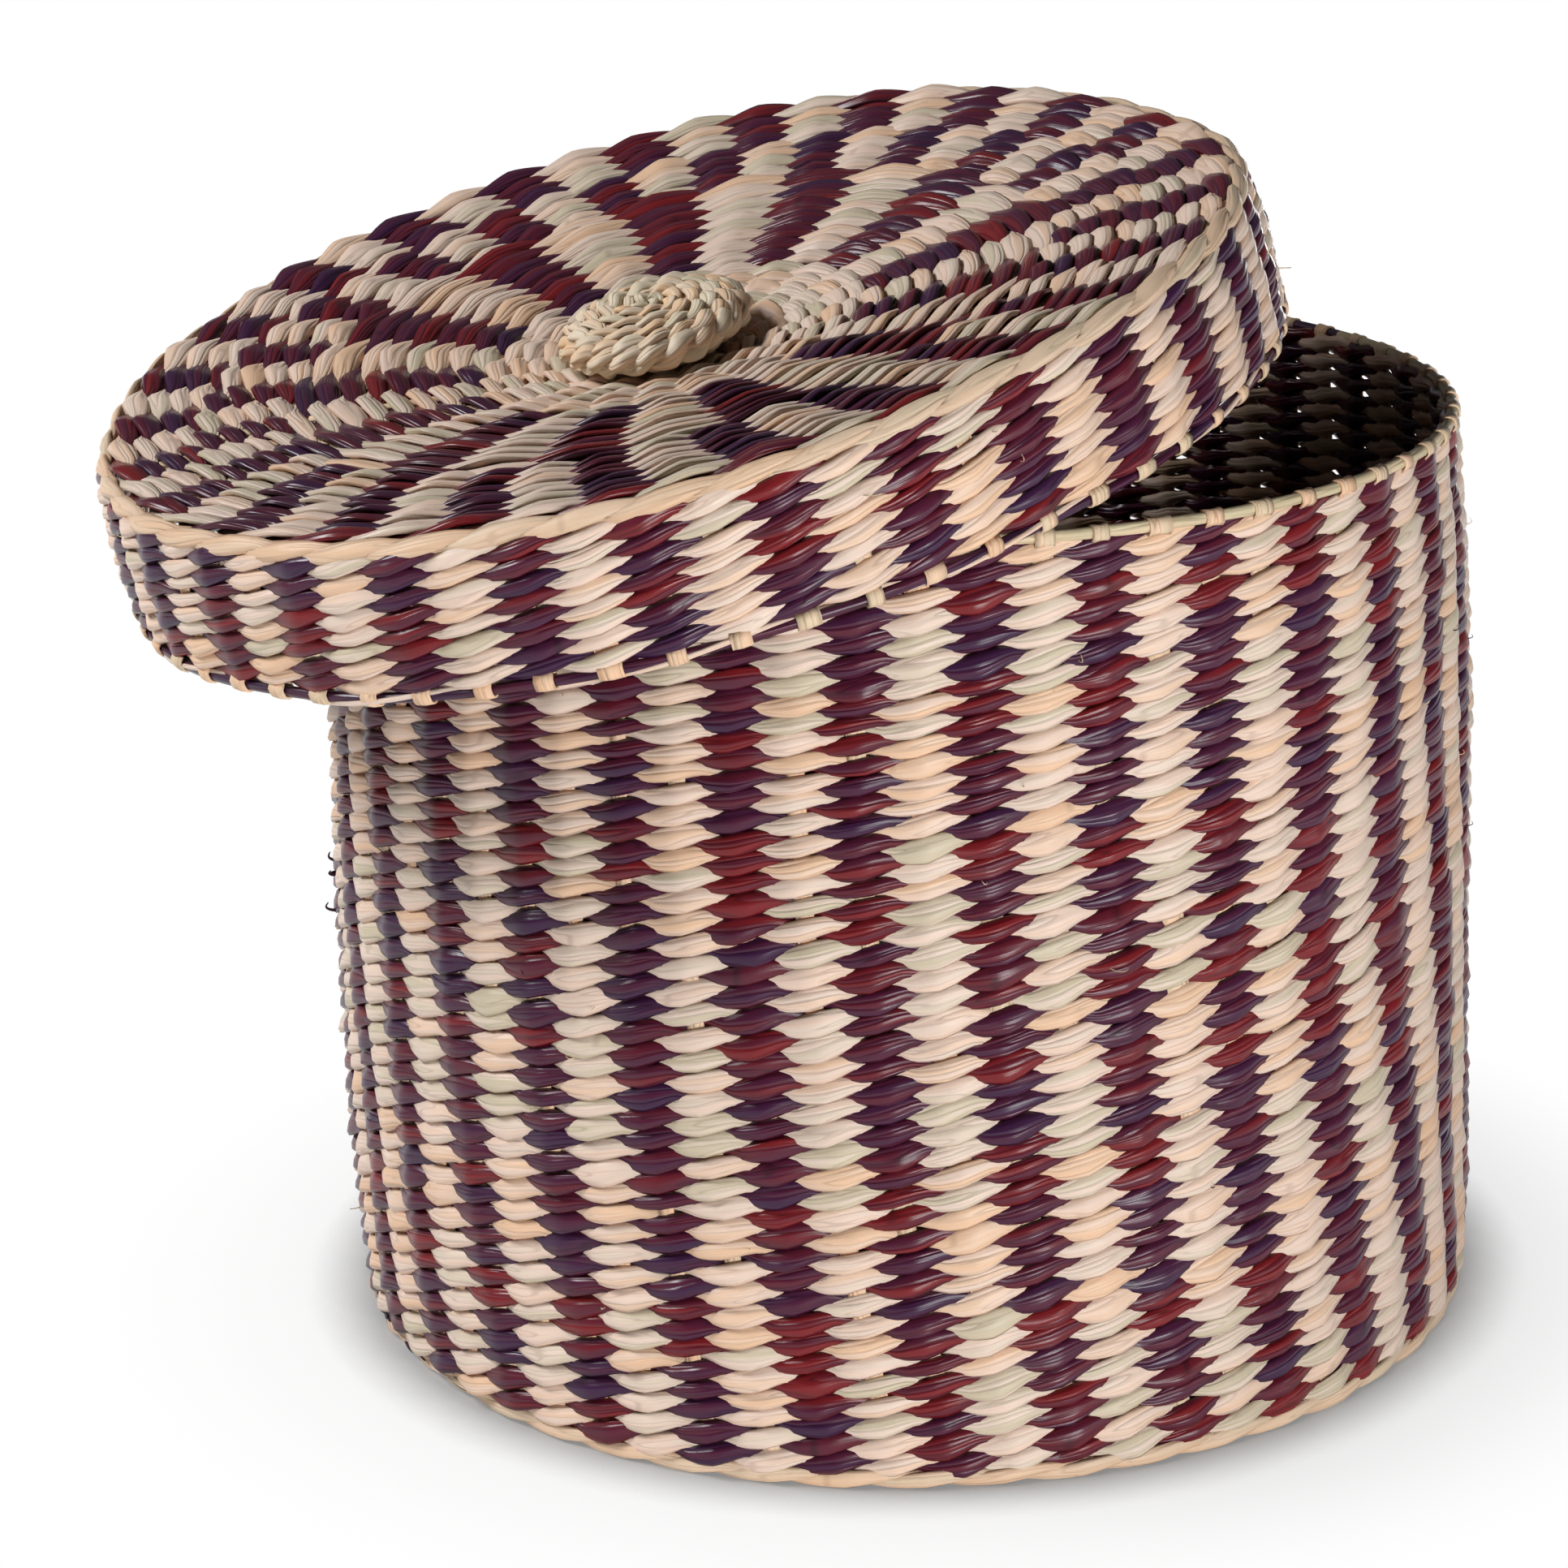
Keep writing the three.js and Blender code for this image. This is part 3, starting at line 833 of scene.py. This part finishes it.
def arch(ring, height, upward):
    """The fold over a rod, from its inner side to its outer side and back into the weave."""
    reach = rod_radius + stake_thickness / 2 - fold_squeeze
    bend = [
        (ring - reach * math.cos(angle), height + upward * reach * math.sin(angle))
        for angle in np.linspace(0, math.pi, 9)
    ]
    outside = ring + reach
    tail = [
        (outside + 0.1 * mm, height - upward * 0.9 * mm),
        (outside - 0.9 * mm, height - upward * 2.0 * mm),
    ]
    return bend + tail


base_path = [(radius, base_depth) for radius in np.linspace(4 * mm, base_edge - 3 * mm, 12)]
wall_heights = np.linspace(5 * mm, wall_top - mm, 44)
wall_path = [(wall_outside(height) - strand_depth, height) for height in wall_heights]
basket_path = base_path + wall_path + arch(rim_ring, rim_height, 1)
basket_fans = [(basket_path, wall_stakes, wall_turn)]
basket_fan = stake_fan("basket_stake_fan", basket_fans, wall_shape, basket_place, seed=50)
finish_piece(basket_fan, stake_sedge, "stake_strand", "basket", "basket_stakes")

# %% [markdown]
# ## Rods
# A thin rod runs along the rim, under the folded stakes. Most of the basket's rod is a rolled natural
# strand, and at the back it is a dyed one. The lid's rod is dyed, with a thin natural strand twisted
# round it.

# %% Rod of the basket
def rod_row(ring, height, radius):
    """A straight round strand that goes round the axis."""
    return Row(
        radius=ring,
        height=height,
        half_width=radius,
        squeezed=False,
        half_thickness=radius,
        reach=0,
        sway=0,
        tuck=0,
        uneven=0.4,
    )


dyed_rod_from, dyed_rod_to = math.radians(30), math.radians(165)
rim_row = rod_row(rim_ring, rim_height, rod_radius)
rim_rod = weave("rim_rod", [rim_row], first_strand, wall_shape, basket_place, seed=51)
finish_piece(rim_rod, rod_sedge, "rim_rod", "basket", "basket_rim_rod")
rim_rod.data.materials.append(dyed_sedge)
dyed_faces = 0
for face in rim_rod.data.polygons:
    azimuth = math.atan2(face.center.y, face.center.x)
    face.material_index = int(dyed_rod_from < azimuth < dyed_rod_to)
    dyed_faces += face.material_index
print("dyed part of the rod:", round(100 * dyed_faces / len(rim_rod.data.polygons)), "percent")

# %% [markdown]
# ## Lid
# The lid's skirt is twined like the wall, over as many stakes. Its top starts from fewer stakes, and new
# ones are laid in where the spaces grow too wide. Each time, the columns of colour break and start again
# in new places, which gives the top its whirling rays. The lid isn't truly round or flat: its far edge
# is lifted by up to 4.6 mm, its near left edge hangs by 1 mm, and its left end and its back right are
# drawn in by 1.4 mm. So a gentle warp is laid over the whole lid, stronger further out.

# %% Shape of the lid
def lid_shape(turn, radius, height):
    """The lid's own outline, in its frame, as waves whose sizes are in mm at its edge."""
    share = (radius / top_radius) ** 2
    lift = 0.8 + 1.4 * np.sin(turn) - 0.7 * np.cos(2 * turn) - 1.1 * np.sin(2 * turn) - 0.4 * np.sin(3 * turn)
    lift = lift + 2.6 * bell(turn, 1.05, 0.55)
    swell = -0.2 - 0.3 * np.sin(turn) - 0.6 * np.cos(2 * turn) - 0.6 * np.sin(2 * turn)
    swell = swell + 0.6 * np.cos(3 * turn)
    ripple = 0.25 * np.sin(9 * turn + 1) + 0.2 * np.sin(14 * turn)
    tuck_in = 0.03 * np.minimum(height, 0) * np.clip(-np.cos(turn), 0, 1)
    radius = radius + (swell + ripple) * share * mm + tuck_in * share
    return round_shape(turn, radius, height + lift * share * mm)


edge_turns = np.radians(np.arange(-180, 180))
edge_heights = lid_shape(edge_turns, top_radius + 0 * edge_turns, 0 * edge_turns)[:, 2] / mm
print("the lid's edge is warped by", edge_heights.min().round(1), "to", edge_heights.max().round(1), "mm")

# %% Rows of the skirt
skirt_count = 8
skirt_reach = skirt_top + 2.1 * mm - skirt_bottom    # the highest row lies half under the cord
skirt_pitch = skirt_reach / skirt_count
skirt_turn = math.radians(-5)
skirt_rows = [
    Row(
        radius=skirt_outside(height) - strand_depth,
        height=height,
        turn=skirt_turn + math.radians(row_dice.normal(0, 0.2)),
        half_width=0.56 * skirt_pitch,
        sway=0.29 * skirt_pitch,
    )
    for height in skirt_bottom + skirt_pitch * (np.arange(skirt_count) + 0.5)
]
print("rows of the skirt are", round(skirt_pitch / mm, 1), "mm apart")

# %% Rows of the top, steeper near the middle than at the edge
dish_curve = 1.35            # 1 would be a plain cone
top_sunk = 0.4 * mm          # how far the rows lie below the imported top's cone
edge_rise = 1.3 * mm         # how far they rise again towards the cord,
edge_rise_width = 5 * mm     # over about this width


def top_rows(inner, outer, stakes, count, first_turn, lean):
    """Rows of the dished top between two radii. Lean turns the columns on their way out, in degrees."""
    rows = []
    pitch = (outer - inner) / count
    for share in (np.arange(count) + 0.5) / count:
        radius = inner + (outer - inner) * share
        inward = 1 - radius / top_radius
        steepness = math.tan(dish_slope) * dish_curve * inward ** (dish_curve - 1)
        rise = edge_rise * math.exp((radius - top_radius) / edge_rise_width)
        rows.append(
            Row(
                radius=radius,
                height=-top_radius * math.tan(dish_slope) * inward**dish_curve - top_sunk + rise,
                facing=math.pi / 2 + math.atan(steepness),
                stakes=stakes,
                turn=math.radians(first_turn + lean * share + row_dice.normal(0, 0.25)),
                half_width=0.6 * pitch,
                sway=0.28 * pitch,
            )
        )
    return rows


rosette_edge = outline("lid_rosette", lid_place)[1].max()
lid_zones = (            # they overlap by a millimetre, so that no light shows between them
    top_rows(rosette_edge, 86.6 * mm, 26, 8, -8.3, 2.5),
    top_rows(85.6 * mm, 106.6 * mm, 48, 4, -0.9, 1.5),
    top_rows(105.4 * mm, top_radius + 2.0 * mm, 50, 4, -2.1, 1.7),
)
lid_top_rows = [row for zone in lid_zones for row in zone]
rosette_rows = [row for zone in rosette_zones(rosette_edge) for row in top_rows(*zone, 0, 5)]
print("the top has", len(rosette_rows), "natural rows and", len(lid_top_rows), "striped ones")

# %% Weaving the lid
striped_weave("lid_skirt_{}", skirt_rows, lid_shape, lid_place, (20, 21), "lid", "lid_skirt_weave")
striped_weave("lid_top_{}", lid_top_rows, lid_shape, lid_place, (22, 23), "lid", "lid_top_weave")
rosette = weave("lid_rosette_natural", rosette_rows, both_strands, lid_shape, lid_place, seed=30)
finish_piece(rosette, natural_sedge, "natural_weave", "lid", "lid_rosette")

# %% Cord round the top of the lid
lid_ring, lid_cord_height, lid_cord = hoop_of("lid_cord", lid_place)


def cord_shape(turn, radius, height):
    """The cord follows the lid's edge. It stands up by 0.6 mm on the right, and lies 1.3 mm lower at the
    back, where the edge hides it."""
    offset = 0.6 * np.maximum(np.cos(turn), 0) - 1.3 * np.clip(1.6 * np.sin(turn) - 0.6, 0, 1)
    return lid_shape(turn, radius, height + offset * mm)


edge_row = cord_row(lid_ring + 0.7 * mm, lid_cord_height - 0.2 * mm, facing=35, half_width=0.74 * lid_cord)
edge_cord = weave("lid_cord_strands", [edge_row], both_strands, cord_shape, lid_place, seed=60)
finish_piece(edge_cord, cord_sedge, "natural_cord", "lid", "lid_cord")

# %% Rod of the lid, with a thin strand wound round it
lid_rod_ring, lid_rod_height, _ = hoop_of("lid_rim_rod", lid_place)
lid_rod_row = rod_row(lid_rod_ring, lid_rod_height, rod_radius - 0.1 * mm)
lid_rod = weave("lid_rod", [lid_rod_row], first_strand, lid_shape, lid_place, seed=61)
finish_piece(lid_rod, dyed_sedge, "rim_rod", "lid", "lid_rim_rod")
winding = rod_row(lid_rod_ring, lid_rod_height, 0.6 * mm)
winding = replace(winding, stakes=24, reach=1.1 * mm, twisted=True)
lid_winding = weave("lid_rod_winding", [winding], first_strand, lid_shape, lid_place, seed=62)
finish_piece(lid_winding, natural_sedge, "rim_rod", "lid", "lid_rim_rod")

# %% Stakes of the lid
def steady(angle):
    """Stakes that don't lean."""
    return lambda height: angle + 0 * height


zone_overlap = 3 * mm        # how far inside its zone's first row a stake of the top starts
skirt_heights = np.linspace(-3 * mm, skirt_bottom + mm, 9)
skirt_path = [(skirt_outside(height) - strand_depth, height) for height in skirt_heights]
skirt_path = skirt_path + arch(lid_rod_ring, lid_rod_height, -1)
lid_fans = [(skirt_path, wall_stakes, steady(skirt_turn))]
for zone in lid_zones:
    path = [(row.radius, row.height) for row in zone]
    path = [(path[0][0] - zone_overlap, path[0][1] - zone_overlap * math.tan(dish_slope))] + path
    lid_fans.append((path, zone[0].stakes, steady(zone[0].turn)))
lid_fan = stake_fan("lid_stake_fan", lid_fans, lid_shape, lid_place, seed=63)
finish_piece(lid_fan, stake_sedge, "stake_strand", "lid", "lid_stakes")

# %% [markdown]
# ## Knob
# The knob is a small woven button. It is twined like the rest, from natural strands only, but from broad
# ones over few stakes, so its stitches are large and each round looks like a braid. The rounds start at
# a tight eye, cover the domed crown, turn down over the edge and end on the underside. A few stakes show
# between them, and more of them stand side by side in the short neck that ties the knob to the lid.

# %% Rounds of the knob
knob_shift = -3 * mm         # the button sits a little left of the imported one's middle
knob_place = plane_frame("knob_cap") @ Matrix.Translation((knob_shift, 0, 0))
knob_floor = outline("knob_cap", knob_place)[0].min()
knob_edge = 21.6 * mm


def knob_row(share, rise, facing, stakes, half_width):
    """A round of the knob, at a share of its radius. Rise over the underside and half width are in mm."""
    return Row(
        radius=knob_edge * share,
        height=knob_floor + rise * mm,
        facing=math.radians(facing),
        stakes=stakes,
        turn=7 * share,
        half_width=half_width * mm,
        half_thickness=0.7 * mm,
        reach=0.8 * mm,
        sway=0.55 * half_width * mm,
        tuck=0.18,
        uneven=1.1,
    )


knob_rows = [
    knob_row(0.09, 9.8, 90, 4, 1.7),
    knob_row(0.25, 9.8, 90, 8, 2.0),
    knob_row(0.43, 9.5, 86, 10, 2.1),
    knob_row(0.61, 8.8, 80, 14, 2.2),
    knob_row(0.78, 7.7, 66, 18, 2.2),
    knob_row(0.9, 6.0, 40, 20, 2.1),
    knob_row(0.92, 4.0, 0, 20, 1.8),
    knob_row(0.82, 2.4, -60, 18, 1.9),
    knob_row(0.65, 1.9, -85, 14, 2.1),
    knob_row(0.46, 1.9, -90, 10, 2.1),
]
knob = weave("knob_natural", knob_rows, both_strands, round_shape, knob_place, seed=70)
finish_piece(knob, knob_sedge, "natural_weave", "lid", "knob_cap")
crown_rows = knob_rows[1:6]
knob_path = [(row.radius, row.height - 0.2 * mm) for row in crown_rows]
knob_fan = stake_fan("knob_stake_fan", [(knob_path, 14, steady(0.2))], round_shape, knob_place, seed=72)
finish_piece(knob_fan, stake_sedge, "stake_strand", "lid", "knob_cap")

# %% Neck of the knob
neck_place = plane_frame("knob_stalk")
neck_heights, neck_radii = outline("knob_stalk", neck_place)
neck_ring, neck_middle = neck_radii.max(), neck_heights.mean()
neck_row = Row(
    radius=neck_ring - 1.2 * mm,
    height=neck_middle,
    stakes=14,
    half_width=1.6 * mm,
    half_thickness=0.6 * mm,
    reach=0.5 * mm,
    sway=0.4 * mm,
)
neck = weave("knob_neck", [neck_row], both_strands, round_shape, neck_place, seed=71)
finish_piece(neck, natural_sedge, "natural_weave", "lid", "knob_stalk")
neck_path = [
    (neck_ring + 2 * mm, neck_heights.min()),
    (neck_ring, neck_middle),
    (neck_ring + mm, neck_heights.max()),
]
neck_fan = stake_fan("knob_neck_fan", [(neck_path, 20, steady(0))], round_shape, neck_place, seed=73)
finish_piece(neck_fan, stake_sedge, "stake_strand", "lid", "knob_stalk")

# %% [markdown]
# ## Loose fibres
# Sedge splits as it is worked, and a few fibres always stand off the surface as curls and short stubs.
# They are thin curves that start in the weave and swing outward, turned into a mesh. They stand at
# random places, apart from a dark tuft on the left of the wall, where the photograph shows one.

# %% Fibres that stand off
fibre_root = 1.2 * mm        # how deep in the weave a fibre starts
fibre_curl = 2.2             # how far it bends over from root to tip, in radians
fibre_taper = 0.7            # how much of its thickness it loses
fibre_points = 7


def fibre_material(name, colour):
    """A dry fibre, torn off a strand: matt, and too thin to show any pattern."""
    material, shader = new_material(name)
    connect(shader, Base_Color=linear(colour), Roughness=0.6, Specular_IOR_Level=0.2)
    return material


def loose_fibres(name, starts, outside, shape, place, thickness, seed):
    """Curls from (azimuth in degrees, height, length) starts on a round surface."""
    dice = np.random.default_rng(seed)
    curve = bpy.data.curves.new(name, "CURVE")
    curve.dimensions = "3D"
    curve.bevel_depth = thickness / 2
    curve.bevel_resolution = 1
    share = np.linspace(0, 1, fibre_points)
    for azimuth, height, length in starts:
        swing, lean = dice.uniform(0.4, 0.9), dice.normal(0, 0.7)
        turn = math.radians(azimuth) + length * share * math.sin(lean) * 0.8 / outside(height)
        out = outside(height) - fibre_root + length * swing * np.sin(fibre_curl * share) * 0.8
        rise = height + length * (share**1.5 * math.cos(lean) * 0.7 - 0.35 * share)
        spline = curve.splines.new("NURBS")
        spline.points.add(fibre_points - 1)
        for point, spot, left in zip(spline.points, shape(turn, out, rise), 1 - fibre_taper * share):
            point.co = (*(place @ Vector(spot)), 1)
            point.radius = left
        spline.use_endpoint_u = True
    holder = bpy.data.objects.new(name, curve)
    mesh = bpy.data.meshes.new_from_object(holder)
    mesh.name = name
    bpy.data.objects.remove(holder)
    bpy.data.curves.remove(curve)
    piece = bpy.data.objects.new(name, mesh)
    scene_objects.link(piece)
    print(name, "has", len(starts), "fibres")
    return piece


# %% Where the fibres stand
fibre_dice = np.random.default_rng(80)


def scattered(count, bottom, top, longest):
    """Random starts on a wall."""
    return [
        (fibre_dice.uniform(-180, 180), fibre_dice.uniform(bottom, top), fibre_dice.uniform(0.4, 1) * longest)
        for _ in range(count)
    ]


pale_fibre = fibre_material("pale_fibre", "DCC7A4")
dark_fibre = fibre_material("dark_fibre", "35182C")
wall_pale = scattered(46, wall_bottom + 8 * mm, wall_top - 4 * mm, 7 * mm)
wall_dark = scattered(24, wall_bottom + 8 * mm, wall_top - 4 * mm, 5 * mm)
skirt_pale = scattered(16, skirt_bottom + 3 * mm, -4 * mm, 6 * mm)
left_tuft = [
    (186, 104 * mm, 5 * mm),
    (188, 102 * mm, 4 * mm),
    (184, 100 * mm, 4.5 * mm),
    (186, 92 * mm, 5 * mm),
]
wall_surface = wall_outside, wall_shape, basket_place
skirt_surface = skirt_outside, lid_shape, lid_place
fibre_sets = (
    ("wall_pale_fibres", wall_pale, wall_surface, 0.28 * mm, pale_fibre, "basket", "wall_weave"),
    ("wall_dark_fibres", wall_dark, wall_surface, 0.3 * mm, dark_fibre, "basket", "wall_weave"),
    ("wall_tuft", left_tuft, wall_surface, 0.9 * mm, dark_fibre, "basket", "wall_weave"),
    ("skirt_fibres", skirt_pale, skirt_surface, 0.28 * mm, pale_fibre, "lid", "lid_skirt_weave"),
)
for seed, (name, starts, surface, thickness, material, body, node) in enumerate(fibre_sets, start=81):
    piece = loose_fibres(name, starts, *surface, thickness, seed)
    finish_piece(piece, material, "striped_weave", body, node)

# %% [markdown]
# ## Floor and light
# The floor is plain and white. Where the camera sees it, directly, in a gloss or through glass, part of
# its colour is a steady white that needs no lamp, more of it further away, so the picture's ground is
# white and the basket's soft shadow still shows. The steady white is weaker right beside the basket,
# where ambient occlusion finds something standing close, which paints a thin contact shadow under the
# foot.
# The key lamp lies low in front, to the right of the camera, and a weak one low on the right. One hangs
# high on the left and lights the top of the lid, and one lies low behind. The lid shades the inside of
# the basket, which leaves it nearly black. The level is set so that a colour comes out about as it is
# written. The world is white to the camera, and nearly dark as a light.

# %% White floor
white = (1, 1, 1, 1)
near_white, far_white = 0.7, 1.0     # shares of steady white,
near_from, far_from = 0.11, 0.2      # at these distances in metres from the middle of the basket
contact_shadow_reach = 16 * mm

# Matt white card: even and without gloss, so that only the basket's shadow shows on it
floor_material, floor_shader = new_material("white_floor")
connect(floor_shader, Base_Color=linear("F4F4F4"), Roughness=0.9)
position = add(floor_material, "ShaderNodeTexCoord").outputs["Object"]
distance = add(floor_material, "ShaderNodeVectorMath", {"operation": "LENGTH"}, i0=position).outputs["Value"]
steady_share = add(
    floor_material,
    "ShaderNodeMapRange",
    {"interpolation_type": "SMOOTHSTEP"},
    Value=distance,
    From_Min=near_from,
    From_Max=far_from,
    To_Min=near_white,
    To_Max=far_white,
)
rays = add(floor_material, "ShaderNodeLightPath").outputs
seen = rays["Is Camera Ray"]
for ray in ("Is Glossy Ray", "Is Transmission Ray"):
    seen = add(floor_material, "ShaderNodeMath", {"operation": "MAXIMUM"}, i0=seen, i1=rays[ray])
share = add(floor_material, "ShaderNodeMath", {"operation": "MULTIPLY"}, i0=seen, i1=steady_share)
# Painted contact shadow: ambient occlusion dims the steady white where the basket stands close
openness = add(floor_material, "ShaderNodeAmbientOcclusion", {"samples": 8}, Distance=contact_shadow_reach)
painted_contact_shadow = add(
    floor_material,
    "ShaderNodeMapRange",
    Value=openness.outputs["AO"],
    From_Min=0.45,
    From_Max=1.0,
    To_Min=0.3,
    To_Max=1.0,
)
steady_white = add(floor_material, "ShaderNodeEmission", Color=white, Strength=painted_contact_shadow)
mixed = add(floor_material, "ShaderNodeMixShader", i0=share, i1=floor_shader, i2=steady_white)
connect(floor_material.node_tree.nodes["Material Output"], Surface=mixed)
print("the floor is all steady white from", far_from, "m on")

# %% Floor
floor_half = 6               # metres from its middle to its edge
bm = bmesh.new()
bmesh.ops.create_grid(bm, x_segments=1, y_segments=1, size=floor_half)
floor_mesh = bpy.data.meshes.new("floor")
bm.to_mesh(floor_mesh)
bm.free()
floor = bpy.data.objects.new("floor", floor_mesh)
floor_mesh.materials.append(floor_material)
scene_objects.link(floor)
print("the floor is", 2 * floor_half, "m wide")

# %% Lamps
basket_middle = Vector((0, 0, 0.12))


def softbox(name, place, width, height, power):
    """A flat lamp that looks at the middle of the basket."""
    lamp = bpy.data.lights.new(name, "AREA")
    lamp.shape = "RECTANGLE"
    lamp.size = width
    lamp.size_y = height
    lamp.energy = power
    holder = bpy.data.objects.new(name, lamp)
    holder.location = place
    aim = basket_middle - holder.location
    holder.rotation_euler = aim.to_track_quat("-Z", "Y").to_euler()
    scene_objects.link(holder)
    print(name, "lamp is", round(aim.length, 2), "m away")


softbox("key", (0.5, -1.45, 0.14), 0.9, 0.2, 17)
softbox("right", (1.3, -0.75, 0.16), 0.5, 0.28, 1.4)
softbox("overhead", (-1.17, 0.07, 1.16), 0.5, 0.5, 21)
softbox("back", (0.3, 1.4, 0.12), 0.9, 0.2, 4)

# %% World, white to the camera and dim as a light
dim_strength = 0.02
backdrop_top = 0.15          # how steep a mirrored ray may be before it misses a low white backdrop
above_backdrop = 0.1         # how much white it sees then
world = bpy.data.worlds.new("studio")
world.use_nodes = True
bpy.context.scene.world = world
dim = world.node_tree.nodes["Background"]
connect(dim, Color=white, Strength=dim_strength)
bright = add(world, "ShaderNodeBackground", Color=white, Strength=1.0)
rays = add(world, "ShaderNodeLightPath").outputs
direction = add(world, "ShaderNodeTexCoord").outputs["Generated"]
upward = add(world, "ShaderNodeSeparateXYZ", Vector=direction).outputs["Z"]
backdrop = add(
    world, "ShaderNodeMapRange", Value=upward, From_Max=backdrop_top, To_Min=1.0, To_Max=above_backdrop
)
mirrored = add(world, "ShaderNodeMath", {"operation": "MULTIPLY"}, i0=rays["Is Glossy Ray"], i1=backdrop)
seen = rays["Is Camera Ray"]
for also_seen in (mirrored, rays["Is Transmission Ray"]):
    seen = add(world, "ShaderNodeMath", {"operation": "MAXIMUM"}, i0=seen, i1=also_seen)
mixed = add(world, "ShaderNodeMixShader", i0=seen, i1=dim, i2=bright)
connect(world.node_tree.nodes["World Output"], Surface=mixed)
bpy.context.scene.view_settings.view_transform = "Standard"
print("the world gives", dim_strength, "of white as a light")
